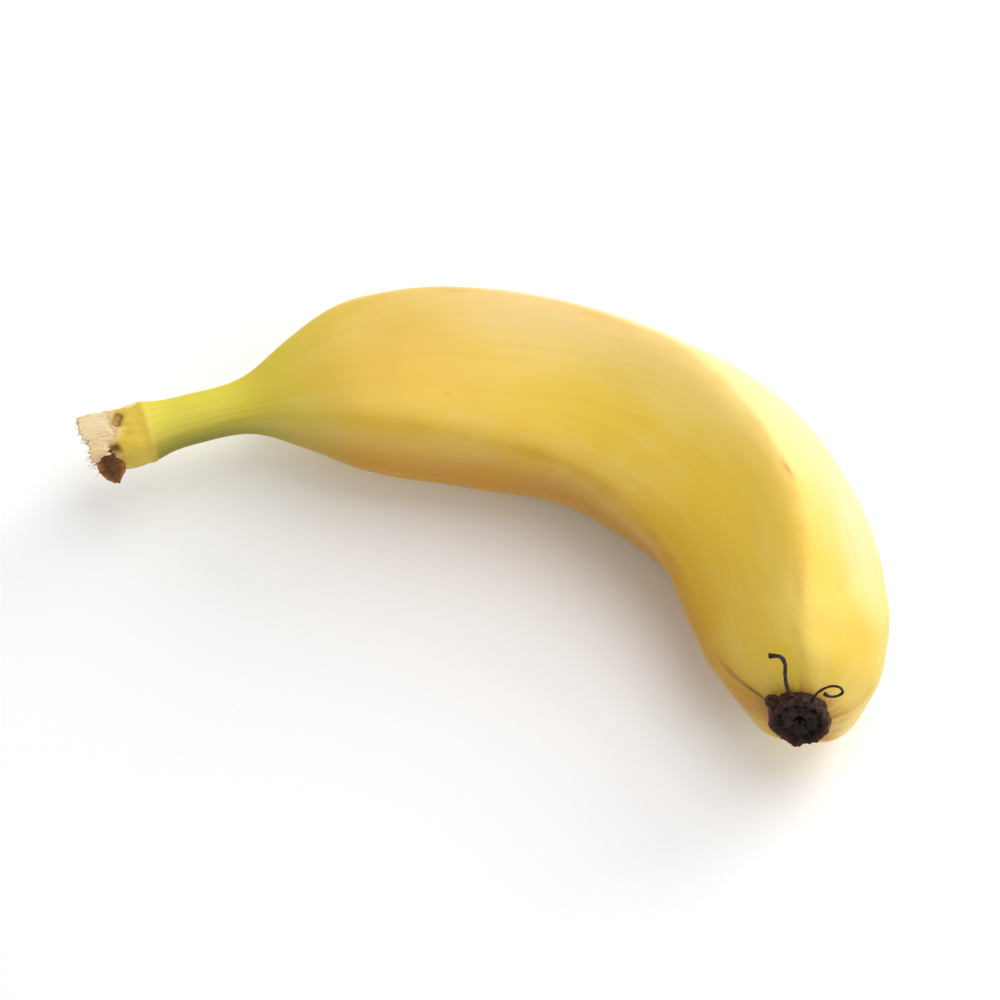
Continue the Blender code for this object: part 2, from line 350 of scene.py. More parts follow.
def mark(places, degrees, shape, spot):
    """An oval mask round one spot of the peel: place, degrees, half length, half width, slant."""
    place, where, long, wide, slant = spot
    radius = smooth(radius_stations(shape), place * MM)
    across = np.radians(turn_between(degrees, where)) * radius / MM
    along = places / MM - place
    lean = math.radians(slant)
    u = along * math.cos(lean) - across * math.sin(lean)
    w = along * math.sin(lean) + across * math.cos(lean)
    return np.exp(-((u / long) ** 4) - (w / wide) ** 2)


def rough(points, scale, octaves=4):
    """Fractal noise from about -1 to 1 at each point, with features about scale metres across."""
    flat = points.reshape(-1, 3) / scale
    values = [noise.fractal(Vector(p), 1.0, 2.0, octaves) for p in flat]
    return np.array(values).reshape(points.shape[:-1])


def lay_of(places, degrees, radius=20.0):
    """Coordinates that follow the skin, in millimetres: along, then two round it, with no seam."""
    turn = np.radians(degrees)
    along = np.broadcast_to(places / MM, degrees.shape)
    return np.stack([along, radius * np.cos(turn), radius * np.sin(turn)], -1)


# Meshes


def grid_mesh(name, rings, closed=True, first_cap=None, last_cap=None):
    """A mesh of quads through rings of equal numbers of points, with optional end points."""
    count, around = rings.shape[:2]
    points = rings.reshape(-1, 3).tolist()
    faces = []
    last = around if closed else around - 1
    for k in range(count - 1):
        for i in range(last):
            j = (i + 1) % around
            faces.append((k * around + i, k * around + j, (k + 1) * around + j, (k + 1) * around + i))
    for cap, ring, flip in ((first_cap, 0, True), (last_cap, count - 1, False)):
        if cap is None:
            continue
        points.append(list(cap))
        middle = len(points) - 1
        for i in range(last):
            pair = (ring * around + i, ring * around + (i + 1) % around)
            faces.append((*(pair[::-1] if flip else pair), middle))
    mesh = bpy.data.meshes.new(name)
    mesh.from_pydata(points, [], faces)
    mesh.update()
    return mesh


def paint(mesh, name, values):
    """Stores one number or vector for each point, and repeats the last for any end points."""
    is_vector = values.ndim > 2
    kind, field = ("FLOAT_VECTOR", "vector") if is_vector else ("FLOAT", "value")
    flat = values.reshape(-1, 3 if is_vector else 1)
    missing = len(mesh.vertices) - len(flat)
    if missing:
        flat = np.concatenate([flat, np.repeat(flat[-1:], missing, 0)])
    layer = mesh.attributes.new(name, kind, "POINT")
    layer.data.foreach_set(field, flat.astype(np.float32).ravel())


def add_piece(name, mesh, look, replaced=(), sharp=None):
    """Makes an object of the mesh that rides with the fruit."""
    tidy = bmesh.new()
    tidy.from_mesh(mesh)
    bmesh.ops.recalc_face_normals(tidy, faces=tidy.faces)
    tidy.to_mesh(mesh)
    tidy.free()
    mesh.shade_smooth()
    if sharp:
        mesh.set_sharp_from_angle(angle=math.radians(sharp))
    mesh.materials.append(look)
    obj = bpy.data.objects.new(name, mesh)
    bpy.context.scene.collection.objects.link(obj)
    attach(obj, "root")
    if replaced:
        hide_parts(*replaced)
    return obj


# Materials

# One row for each node in use: Blender's node, its settings, the inputs that the values go to in
# turn, and the output that is used
NODES = {
    "attribute": ("ShaderNodeAttribute", {}, (), "Fac"),
    "place": ("ShaderNodeTexCoord", {}, (), "Object"),
    "mix": ("ShaderNodeMix", {"data_type": "RGBA"}, (0, 6, 7), 2),
    "add": ("ShaderNodeMath", {"operation": "ADD"}, (0, 1), 0),
    "multiply": ("ShaderNodeMath", {"operation": "MULTIPLY"}, (0, 1), 0),
    "multiply_add": ("ShaderNodeMath", {"operation": "MULTIPLY_ADD"}, (0, 1, 2), 0),
    "below": ("ShaderNodeMath", {"operation": "LESS_THAN"}, (0, 1), 0),
    "ease": ("ShaderNodeMapRange", {"interpolation_type": "SMOOTHSTEP"}, (0, 1, 2, 3, 4), 0),
    "divide": ("ShaderNodeVectorMath", {"operation": "DIVIDE"}, (0, 1), 0),
    "noise": ("ShaderNodeTexNoise", {}, ("Vector", "Scale", "Detail", "Roughness"), "Fac"),
    "cells": ("ShaderNodeTexVoronoi", {}, ("Vector", "Scale", "Randomness"), "Distance"),
    "channels": ("ShaderNodeSeparateColor", {}, (0,), 0),
    "bump": ("ShaderNodeBump", {}, ("Height", "Strength", "Distance"), 0),
}


def add_node(tree, row, *values, **settings):
    """Adds a node by its row. Each value is a number, a colour, a hex colour or a socket to link."""
    kind, usual, inputs, output = NODES[row]
    made = tree.nodes.new(kind)
    for key, value in {**usual, **settings}.items():
        setattr(made, key, value)
    for name, value in zip(inputs, values):
        if isinstance(value, bpy.types.NodeSocket):
            tree.links.new(value, made.inputs[name])
        else:
            made.inputs[name].default_value = linear(value) if isinstance(value, str) else value
    return made.outputs[output]


def start_material(name, **shader):
    """A material with its tree and its Principled shader, whose constants are set here."""
    made = bpy.data.materials.new(name)
    made.use_nodes = True
    tree = made.node_tree
    principled = tree.nodes["Principled BSDF"]
    for key, value in shader.items():
        principled.inputs[key.replace("_", " ")].default_value = value
    return made, tree, principled


def cover(tree, mask, pattern, span=None):
    """How much a layer covers: its mask, broken up by a pattern that is eased over a span."""
    share = add_node(tree, "ease", pattern, *span) if span else pattern
    return add_node(tree, "multiply", mask, share)


def layered(tree, base, layers):
    """Lays (mask, pattern, span, colour) layers over a base colour, one after another."""
    for mask, pattern, span, over in layers:
        base = add_node(tree, "mix", cover(tree, mask, pattern, span), base, over)
    return base


def skin_noise(tree, lay, along, round_it, detail=3.0, roughness=0.5):
    """Noise whose features have the given sizes in mm along and round the skin."""
    scaled = add_node(tree, "divide", lay, (along, round_it, round_it))
    return add_node(tree, "noise", scaled, 1.0, detail, roughness)


def specks(tree, lay, spacing, size, share):
    """A mask of small round dots: their mean spacing and radius in mm, and the share that shows."""
    scaled = add_node(tree, "divide", lay, (spacing, spacing, spacing))
    cells = add_node(tree, "cells", scaled, 1.0, 1.0)
    near = add_node(tree, "ease", cells, size / spacing, 0.45 * size / spacing, 0.0, 1.0)
    chance = add_node(tree, "channels", cells.node.outputs["Color"])
    return add_node(tree, "multiply", near, add_node(tree, "below", chance, share))


def peel_material(colours):
    """Ripe banana peel: a thin waxy skin over fibrous rind, which gives a soft satin gloss. Its colour also
    holds a painted sheen on the outer side and painted shade on the inner side and underside.
    """
    made, tree, shader = start_material(
        "banana_peel_ripe_waxy", Metallic=0.0, IOR=1.42, Specular_IOR_Level=0.38, Coat_Roughness=0.38,
        Subsurface_Weight=0.12, Subsurface_Radius=(1.0, 0.55, 0.12), Subsurface_Scale=1.6 * MM,
    )
    lay = add_node(tree, "attribute", attribute_name="lay").node.outputs["Vector"]
    masks = {name: add_node(tree, "attribute", attribute_name=name) for name in PEEL_MASKS}
    broad = skin_noise(tree, lay, 26.0, 15.0, 2.0)
    cloud = skin_noise(tree, lay, 7.0, 4.5)
    streak = skin_noise(tree, lay, 34.0, 1.5, 4.0, 0.6)
    fine = skin_noise(tree, lay, 9.0, 0.45)

    # Spans are (low, high, start, end): the pattern's low..high becomes start..end
    # The stalk turns olive on its underside, which is painted shade, and in a few streaks
    green = add_node(
        tree, "add", masks["under"], cover(tree, 1.0, streak, (0.45, 0.65, 0.0, 0.12)), use_clamp=True
    )
    lime_and_painted_shade = add_node(tree, "mix", green, colours.stalk, colours.olive_and_painted_shade)
    # The torn pith turns tan in patches, and more so towards its underside
    dry = add_node(
        tree, "add", cover(tree, 1.0, fine, (0.45, 0.7, 0.0, 0.35)), cover(tree, masks["under"], 0.45),
        use_clamp=True,
    )
    pith = add_node(tree, "mix", dry, colours.pith, colours.tan)
    base = layered(tree, colours.ripe, (
        # Slow changes of ripeness over the body, a painted sheen on the outer side and painted shade along
        # the inner side, then its fibres and ridges
        (1.0, broad, (0.38, 0.66, 0.0, 1.0), colours.pale),
        (masks["warm"], 0.75, None, colours.warm),
        (masks["wax_and_painted_sheen"], broad, (0.3, 0.7, 0.6, 0.85), colours.wax_and_painted_sheen),
        (masks["inner"], 0.95, None, colours.deep_yellow_and_painted_shade),
        (1.0, streak, (0.45, 0.75, 0.0, 0.12), colours.pale),
        (1.0, streak, (0.5, 0.24, 0.0, 0.1), colours.deep_yellow_and_painted_shade),
        (masks["ridge"], cloud, (0.35, 0.7, 0.08, 0.34), colours.deep_yellow_and_painted_shade),
        # Green stalk, darker olive on its underside as painted shade, and amber heel
        (masks["green"], 1.0, None, lime_and_painted_shade),
        (masks["heel"], 1.0, None, colours.heel),
        # Rust specks of under half a millimetre, thinly spread
        (specks(tree, lay, 5.2, 0.26, 0.16), 0.75, None, colours.scar),
        (specks(tree, lay, 2.6, 0.12, 0.12), 0.5, None, colours.scar),
        # Rusty ring round the dried flower, scars, and the torn end
        (masks["halo"], cloud, (0.3, 0.62, 0.25, 1.0), colours.scar),
        (masks["scar"], fine, (0.3, 0.6, 0.45, 1.0), colours.scar),
        (masks["torn"], 1.0, None, pith),
        (masks["edge"], cloud, (0.3, 0.6, 0.35, 0.9), colours.tan),
        (masks["dark"], 1.0, None, colours.dark),
    ))
    tree.links.new(base, shader.inputs["Base Color"])
    satin = cover(tree, 1.0, cloud, (0.3, 0.7, 0.36, 0.47))
    dull = add_node(tree, "multiply_add", masks["torn"], 0.35, satin)
    tree.links.new(dull, shader.inputs["Roughness"])
    wax = add_node(tree, "multiply_add", masks["wax_and_painted_sheen"], 0.45, 0.03)
    tree.links.new(wax, shader.inputs["Coat Weight"])
    # Lengthwise fibres of the rind stand out by a few hundredths of a millimetre
    relief = 0.0
    pores = skin_noise(tree, lay, 0.5, 0.5, 2.0)
    torn_fibres = cover(tree, masks["torn"], fine)
    for pattern, amount in ((streak, 0.5), (fine, 0.35), (pores, 0.18), (torn_fibres, 0.6)):
        relief = add_node(tree, "multiply_add", pattern, amount, relief)
    tree.links.new(add_node(tree, "bump", relief, 0.2, 0.12 * MM), shader.inputs["Normal"])
    return made


def dried_material(name, dark, light, roughness, grain, relief, mask=None):
    """Dried plant tissue: matt and wrinkled, darkest in its hollows, with a faint dry sheen."""
    made, tree, shader = start_material(
        name, Metallic=0.0, IOR=1.45, Roughness=roughness, Specular_IOR_Level=0.3
    )
    grains = 3 * (grain * MM,)
    place = add_node(tree, "divide", add_node(tree, "place"), grains)
    wrinkle = add_node(tree, "noise", place, 1.0, 5.0, 0.62)
    spots = add_node(tree, "noise", place, 0.27, 2.0, 0.5)
    shown = add_node(tree, "attribute", attribute_name=mask) if mask else 1.0
    span = (0.3, 0.62, 0.25, 1.0) if mask else (0.36, 0.66, 0.0, 1.0)
    base = layered(tree, dark, (
        (shown, wrinkle, span, light),
        (1.0, spots, (0.5, 0.7, 0.0, 0.45), dark),
    ))
    tree.links.new(base, shader.inputs["Base Color"])
    tree.links.new(add_node(tree, "bump", wrinkle, 0.7, relief * MM), shader.inputs["Normal"])
    return made


def pith_material(colours):
    """Torn pith and fibre: pale, matt plant fibre, tan where it has dried."""
    return dried_material("banana_fibre_torn", colours.tan, colours.pith, 0.8, 0.5, 0.1)


# Pieces


def skin_places(shape):
    """Places of the peel's rings: closer together at both ends than along the body."""
    heel = np.arange(0, shape.heel_length + 4 * MM, FINE_GAP)
    tip = whole_length(shape) - np.arange(0, 16 * MM, FINE_GAP)[::-1]
    body = np.linspace(heel[-1], tip[0], round((tip[0] - heel[-1]) / BODY_GAP))[1:-1]
    return np.concatenate([heel, body, tip])


def skin_edge(shape, degrees):
    """Where the skin is torn off round the heel, from its end."""
    turn = np.radians(degrees)
    wave = 0.9 * np.cos(turn - 0.2) + 0.7 * np.cos(3 * turn + 2.0) + 0.45 * np.cos(7 * turn + 1.0)
    jag = 0.25 * np.cos(17 * turn) + 0.2 * np.cos(29 * turn + 2)
    return shape.skin_edge + (wave + jag) * MM


class Skin:
    """Grid of the peel: where its points lie along and round the fruit, and the marks of the heel."""

    def __init__(self, shape):
        places = skin_places(shape)
        angles = np.linspace(0, 2 * math.pi, SKIN_AROUND, endpoint=False)
        self.rings, self.spokes, self.centres, self.along = plain_loft(shape, places, angles)
        self.at = places[:, None]
        self.degrees = np.degrees(angles)[None, :] + np.zeros((len(places), 1))
        self.share = self.at / whole_length(shape)
        self.from_tip = whole_length(shape) - self.at
        self.lay = lay_of(self.at, self.degrees)
        self.edge = skin_edge(shape, self.degrees)
        self.crack = mark(self.at, self.degrees, shape, CRACK)
        self.gash = mark(self.at, self.degrees, shape, GASH)
        # The collar stands a little askew
        self.askew = self.at - 0.3 * MM * np.cos(np.radians(self.degrees) - 1.0)

    def facing(self, degrees, spread):
        """A mask of the side that faces one way round the fruit."""
        return bump(turn_between(self.degrees, degrees), 0, spread)


def body_relief(shape, skin):
    """Slow unevenness of the body, long low creases along the stalk and flutes down the neck."""
    neck = shape.stalk_length
    body = step(skin.at, neck, neck + 30 * MM) * step(skin.from_tip, 0, 25 * MM)
    uneven = 0.22 * MM * body * rough(skin.lay, 22.0, 2)
    creases = 0.02 * MM * step(skin.at, shape.heel_length, neck) * rough(skin.lay * (0.12, 1, 1), 3.2, 3)
    flute = np.cos(np.radians(skin.degrees) * 11 + 4 * rough(skin.lay * (0.3, 0, 0), 20.0, 1))
    return uneven + creases + 0.025 * MM * bump(skin.at, neck - 4 * MM, 16 * MM) * flute


def collar_relief(shape, skin):
    """A swollen ring with a shallow groove on its heel side, and lumps beyond it."""
    collar = shape.heel_length
    ring = 0.18 * MM * bump(skin.askew, collar, 0.6 * MM)
    groove = 0.08 * MM * bump(skin.askew, collar - 1.8 * MM, 0.8 * MM)
    return ring - groove + 0.30 * MM * bump(skin.at, 0.6 * collar, 4 * MM) * rough(skin.lay, 4.5, 3)


def heel_relief(skin):
    """The skin stops at a ragged edge and fibrous tissue goes on; a crack and a gash are sunk in."""
    torn = step(skin.edge - skin.at, -0.15 * MM, 0.35 * MM)
    strands = rough(skin.lay * (0.18, 1, 1), 1.5, 4)
    tissue = torn * (-0.18 * MM + 0.16 * MM * strands + 0.22 * MM * rough(skin.lay, 1.1, 3))
    lip = 0.08 * MM * bump(skin.at, skin.edge + 0.25 * MM, 0.4 * MM)
    return tissue + lip - 0.5 * MM * skin.crack - 1.1 * MM * skin.gash


def tip_relief(skin):
    """The skin puckers into fine radial wrinkles and rises in a low lip round the flower."""
    pucker = np.cos(np.radians(skin.degrees) * 17 + 3 * rough(skin.lay * (0, 1, 1), 9.0, 2))
    lip = 0.18 * MM * bump(skin.from_tip, 1.2 * MM, 1.0 * MM)
    return lip + 0.03 * MM * np.exp(-skin.from_tip / (2.2 * MM)) * pucker


def end_setback(skin):
    """How far the points near the torn end run back, by a different amount round the stalk."""
    turn = np.radians(skin.degrees)
    jag = 0.7 * np.cos(turn - 1.6) + 0.4 * np.cos(5 * turn) + 0.7 * rough(skin.lay * (0, 1, 1), 1.6, 4)
    return (1 - step(skin.at, 0, 6 * MM)) * jag * 1.1 * MM


def end_face(skin, first):
    """Rings that close inward from the first ring over the fibrous pith of the torn end."""
    middle = skin.centres[0] + 0.6 * MM * skin.along[0]
    rings = []
    for share in np.linspace(0, 1, 13)[1:-1]:
        ring = middle + share * (first - middle)
        lumps = rough(ring[None] / MM, 1.3, 3)[0]
        hollow = (1.6 * (1 - share**2) + 0.9 * lumps * (1 - 0.4 * share)) * MM
        rings.append(ring + hollow[:, None] * skin.along[0])
    return np.array(rings)


def ridge_mask(shape, skin):
    """Narrow bands along the five ridges of the body."""
    corners = np.degrees(ridge_angles(skin.share[:, 0]))
    off = np.abs(turn_between(skin.degrees[..., None], corners[:, None, :])).min(-1)
    radii = smooth(radius_stations(shape), skin.at[:, 0])[:, None]
    return bump(np.radians(off) * radii, 0, 1.3 * MM) * step(skin.share, 0.2, 0.4)


def peel_masks(shape, skin):
    """How strongly each colour and finish of the peel shows at each point, from 0 to 1."""
    at, share, from_tip, crack, gash = skin.at, skin.share, skin.from_tip, skin.crack, skin.gash
    neck, collar = shape.stalk_length, shape.heel_length
    return {
        "green": 0.92 * (1 - step(at, 0.7 * neck, neck + 26 * MM)) + 0.14 * np.exp(-from_tip / (9 * MM)),
        # Underside: painted shade on the stalk, and more tan in the torn pith
        "under": skin.facing(200, 75),
        "warm": bump(share, 0.33, 0.13) * skin.facing(95, 40),
        # Outer side: painted sheen in the colour, and a thicker wax coat
        "wax_and_painted_sheen": skin.facing(22, 46) * step(share, 0.22, 0.5)
        * (0.3 + 0.7 * step(from_tip, 8 * MM, 40 * MM)),
        # Painted shade along the inner side
        "inner": 0.95 * skin.facing(190, 42) * step(share, 0.15, 0.3),
        "ridge": ridge_mask(shape, skin),
        "torn": step(skin.edge - at, -2.6 * MM, 1.2 * MM) * (1 - crack**0.5) * (1 - gash**0.6),
        "edge": 0.3 * bump(at, skin.edge + 0.3 * MM, 0.45 * MM),
        "scar": 0.8 * sum(mark(at, skin.degrees, shape, scar) for scar in SCARS)
        + skin.facing(162, 2.2) * bump(from_tip, 8 * MM, 5 * MM) + crack**0.5 + gash**0.6,
        "dark": 0.75 * bump(crack, 0.4, 0.22) + 0.75 * gash**2
        + 0.75 * skin.facing(163, 1.6) * bump(from_tip, 3 * MM, 2.4 * MM),
        "halo": 0.75 * bump(from_tip, 0, 1.9 * MM),
        "heel": 0.85 * (1 - step(skin.askew, collar - 1.4 * MM, collar + 1.0 * MM))
        + 0.3 * bump(skin.askew, collar + 0.1 * MM, 0.5 * MM),
    }


def build_peel(shape, look):
    """The whole skin with its collar, torn heel, puckered tip and seat."""
    skin = Skin(shape)
    lift = body_relief(shape, skin) + collar_relief(shape, skin) + heel_relief(skin) + tip_relief(skin)
    points = skin.rings + lift[..., None] * skin.spokes
    points = points - end_setback(skin)[..., None] * skin.along[:, None]
    inner = end_face(skin, points[0])
    points = np.concatenate([inner, points]) + home_shift(shape)
    points[..., 2] = np.maximum(points[..., 2], 0.0)
    seat = points[-1].mean(0) + 0.4 * MM * skin.along[-1]
    mesh = grid_mesh("peel", points, True, points[0].mean(0), seat)

    # The end face takes the values of the first ring
    values = {name: np.clip(mask, 0, 1) + 0 * skin.degrees for name, mask in peel_masks(shape, skin).items()}
    for name, value in {**values, "lay": skin.lay}.items():
        paint(mesh, name, np.concatenate([np.repeat(value[:1], len(inner), 0), value]))
    return add_piece("peel", mesh, look, ("fruit",))


def heel_place(shape, shift, place_mm, degrees, out_mm=0.0):
    """A point on the heel's surface with its directions along and away from the stalk."""
    places = np.linspace(0, place_mm * MM, 12)
    rings, spokes, _, along = plain_loft(shape, places, np.radians([degrees]))
    return rings[-1, 0] + shift + out_mm * MM * spokes[-1, 0], along[0], spokes[0, 0]


def build_fibres(shape, look):
    """Loose fibres that stand out of the torn heel."""
    rng = np.random.default_rng(7)
    shift = home_shift(shape)
    curve = bpy.data.curves.new("torn_fibres", "CURVE")
    curve.dimensions = "3D"
    curve.bevel_depth = 0.09 * MM
    curve.bevel_resolution = 1
    curve.use_fill_caps = True
    for _ in range(150):
        degrees = rng.uniform(0, 360)
        root, along, away = heel_place(shape, shift, 0.6 + rng.uniform(0.0, 3.0), degrees, -0.5)
        sideways = np.cross(along, away)
        depth = rng.uniform(0.0, 1.0) ** 2
        root = root - away * depth * 4.2 * MM
        reach = rng.uniform(1.0, 3.0) * MM
        curl = rng.normal(0, 0.28, 2)
        spline = curve.splines.new("POLY")
        spline.points.add(6)
        for k, point in enumerate(spline.points):
            f = k / 6
            bend = away * (curl[0] + 0.12) + sideways * curl[1]
            place = root - along * reach * f + bend * reach * f * f
            point.co = (*place, 1)
            point.radius = (1 - 0.75 * f) * rng.uniform(0.7, 1.5)
    curve.materials.append(look)
    obj = bpy.data.objects.new("torn_fibres", curve)
    bpy.context.scene.collection.objects.link(obj)
    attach(obj, "root")
    return obj


def leaf(name, root, tip_way, side_way, out_way, long, wide, thick, curl, outline, wrinkle, seed):
    """A thin dried sheet with two faces: it runs from its root along one way and curls outward."""
    rows, columns = 34, 26
    along = np.linspace(0, 1, rows)
    across = np.linspace(-1, 1, columns)
    half = wide / 2 * np.interp(along, *np.array(outline).T)
    u = along[:, None] + 0 * across[None]
    w = across[None] * half[:, None]
    rise = curl * long * u**2 - 0.30 * wide * (across[None] ** 2)
    flat = np.stack([u * long, w, 0 * u], -1)
    rise = rise + wrinkle * rough(flat + seed * MM, 1.6 * MM, 4)
    ragged = 1 + 0.06 * rough(np.stack([0 * w, w, 0 * w], -1) + seed * MM, 0.7 * MM, 3)
    sheet = root + (u * long * ragged)[..., None] * tip_way
    sheet = sheet + w[..., None] * side_way + rise[..., None] * out_way
    edge = np.sqrt(np.clip(1 - np.maximum(np.abs(across)[None] + 0 * u, u * 0.98) ** 6, 0.02, 1))
    front = sheet + (0.5 * thick * edge)[..., None] * out_way
    back = sheet - (0.5 * thick * edge)[..., None] * out_way
    loops = np.concatenate([front, back[:, ::-1]], 1)
    mesh = grid_mesh(name, loops, True, loops[0].mean(0), loops[-1].mean(0))
    shade = np.clip(np.abs(across)[None] ** 3 + 0.3 * u**5 + 0.1, 0, 1)
    paint(mesh, "edge", np.concatenate([shade, shade[:, ::-1]], 1))
    return mesh


def build_crown(shape, colours):
    """The dried flap of crown below the heel, and the pale strip of skin torn back above it."""
    look = dried_material("crown_flap_dry", colours.crown, colours.crown_edge, 0.62, 0.6, 0.25, "edge")
    shift = home_shift(shape)
    root, along, away = heel_place(shape, shift, 2.6, 136, -0.6)
    _, _, down = heel_place(shape, shift, 2.6, 206)
    side = -along
    out = np.cross(down, side)
    out = out if out @ away > 0 else -out
    outline = ((0, 0.80), (0.25, 0.96), (0.55, 1.0), (0.78, 0.72), (0.93, 0.34), (1.0, 0.06))
    mesh = leaf(
        "crown_flap", root, down, side, out, shape.flap_length, shape.flap_width, 0.8 * MM,
        -0.10, outline, 0.5 * MM, 3,
    )
    flap = add_piece("crown_flap", mesh, look, sharp=50)
    pale = dried_material("skin_strip_dry", colours.pith, "#E6CC8C", 0.7, 0.8, 0.05)
    root, along, away = heel_place(shape, shift, 12.2, 34, 0.0)
    side = np.cross(along, away)
    outline = ((0, 0.9), (0.4, 1.0), (0.75, 0.7), (1.0, 0.1))
    mesh = leaf(
        "skin_strip", root, -along, side, away, 4.0 * MM, 1.8 * MM, 0.4 * MM, 0.0, outline, 0.12 * MM, 5
    )
    strip = add_piece("skin_strip", mesh, pale, sharp=60)
    return flap, strip


def cup_frame(shape):
    """Matrix that puts the dried flower's own axes on the seat at the tip of the fruit."""
    places = np.linspace(0, whole_length(shape), 400)
    _, _, centres, along = plain_loft(shape, places, np.zeros(1))
    axis = Vector(along[-1]).normalized()
    across = Vector((0, 0, 1)).cross(axis).normalized()
    made = Matrix((across, axis.cross(across), axis)).transposed().to_4x4()
    seat = Vector(centres[-1] + home_shift(shape))
    made.translation = seat + CUP_ACROSS * across + CUP_RISE * axis.cross(across)
    return made


def placed(points, matrix):
    turn = np.array(matrix)
    return points @ turn[:3, :3].T + turn[:3, 3]


def cup_profile(shape):
    """(radius, height as a share, raggedness, pitting) down the cup's wall and into its hollow."""
    r, inner = shape.cup_radius, shape.cup_radius - shape.cup_wall
    return (
        (0.86 * r, -0.42, 0, 0.0), (0.97 * r, -0.12, 0, 0.2), (1.01 * r, 0.2, 0, 0.5), (r, 0.55, 0.3, 0.7),
        (0.97 * r, 0.86, 0.8, 0.7), (0.91 * r, 1.02, 1.2, 0.6), (0.84 * r, 0.98, 0.9, 0.7),
        (inner, 0.80, 0.5, 1.0), (0.86 * inner, 0.62, 0.2, 1.0), (0.62 * inner, 0.56, 0, 1.0),
        (0.40 * inner, 0.54, 0, 0.9), (0.24 * inner, 0.50, 0, 0.6), (0.16 * inner, 0.25, 0, 0.3),
        (0.05 * inner, 0.10, 0, 0.1),
    )


def build_flower(shape, colours):
    """The dried flower: a ragged cup with a pitted hollow and a small star-shaped hole."""
    stations = np.array(cup_profile(shape))
    count, around = 84, 168
    run = np.linspace(0, 1, len(stations))
    fine = np.linspace(0, 1, count)
    radius, share, ragged, pitted = (
        smooth(tuple(zip(run, column)), fine)[:, None] for column in stations.T
    )
    turn = np.linspace(0, 2 * math.pi, around, endpoint=False)[None]
    star = 1 + 0.55 * step(fine[:, None], 0.80, 0.90) * np.cos(5 * turn + 0.4)
    wave = 1 + 0.03 * np.cos(5 * turn + 1) + 0.025 * np.cos(8 * turn) + 0.02 * np.cos(13 * turn + 2)
    reach = np.maximum(radius, 0.0001 * MM) * wave * star
    flat = np.stack([reach * np.cos(turn), reach * np.sin(turn), share * shape.cup_height + 0 * turn], -1)
    tooth = 0.3 * np.cos(9 * turn) + 0.3 * np.cos(14 * turn + 1) + 1.3 * rough(flat, 1.3 * MM, 4)
    slant = 1 - CUP_SLANT * np.sin(turn) * reach / shape.cup_radius * step(share, -0.1, 0.4)
    height = CLEARANCE + share * shape.cup_height * slant + 0.40 * MM * ragged * tooth
    lobes = np.abs(np.cos(2.5 * turn + 0.3)) ** 0.6 * bump(fine[:, None], 0.70, 0.10)
    petals = 0.75 * MM * lobes - 0.5 * MM * bump(fine[:, None], 0.56, 0.05)
    points = np.stack([reach * np.cos(turn), reach * np.sin(turn), height + petals], -1)
    lumps = rough(flat, 1.7 * MM, 4)
    wrinkles = rough(flat * (1, 1, 0.35), 0.8 * MM, 3)
    outward = np.stack([np.cos(turn) + 0 * fine[:, None], np.sin(turn) + 0 * fine[:, None], 0 * reach], -1)
    wall = 1 - step(fine[:, None], 0.40, 0.52)
    swell = (0.30 * lumps + 0.22 * wrinkles) * MM * wall * step(fine[:, None], 0.0, 0.1)
    points += swell[..., None] * outward
    points[..., 2] += (0.50 * lumps + 0.30 * wrinkles) * MM * pitted * (1 - wall)
    points = placed(points, cup_frame(shape))
    mesh = grid_mesh("flower_cup", points, True, points[0].mean(0), points[-1].mean(0))
    # Painted highlight: the lobes are lighter on the side that faces the lights. The wall is lighter towards
    # its lower side.
    lit_lobes = lobes * (1 + np.cos(turn - 2.8)) / 2
    shade = np.clip(wall * (0.7 - 0.4 * np.sin(turn)) + 0.35 * lit_lobes + 0.05, 0, 1)
    paint(mesh, "wall", shade)
    look = dried_material(
        "banana_flower_dry", colours.flower, colours.flower_wall, 0.52, 0.8, 0.22, "wall"
    )
    return add_piece("flower_cup", mesh, look, ("flower_remnant",))


def build_bract(shape, colours):
    """A small wrinkled scale of the flower that lies beside the cup."""
    look = dried_material("banana_bract_dry", colours.flower, "#5A3A2C", 0.7, 0.6, 0.15)
    axes = cup_frame(shape)
    across, up, axis = (Vector(axes.col[k][:3]) for k in range(3))
    root = axes @ Vector((-3.9 * MM, 1.6 * MM, 1.9 * MM))
    way = (-0.92 * across + 0.34 * up - 0.30 * axis).normalized()
    out = (0.55 * up + 0.85 * axis - 0.2 * across).normalized()
    side = way.cross(out).normalized()
    outline = ((0, 1.0), (0.4, 1.0), (0.75, 0.85), (0.93, 0.5), (1.0, 0.2))
    mesh = leaf(
        "flower_bract", *(np.array(v) for v in (root, way, side, out)), 3.6 * MM, 3.2 * MM, 0.6 * MM,
        -0.10, outline, 0.6 * MM, 9,
    )
    return add_piece("flower_bract", mesh, look, sharp=60)


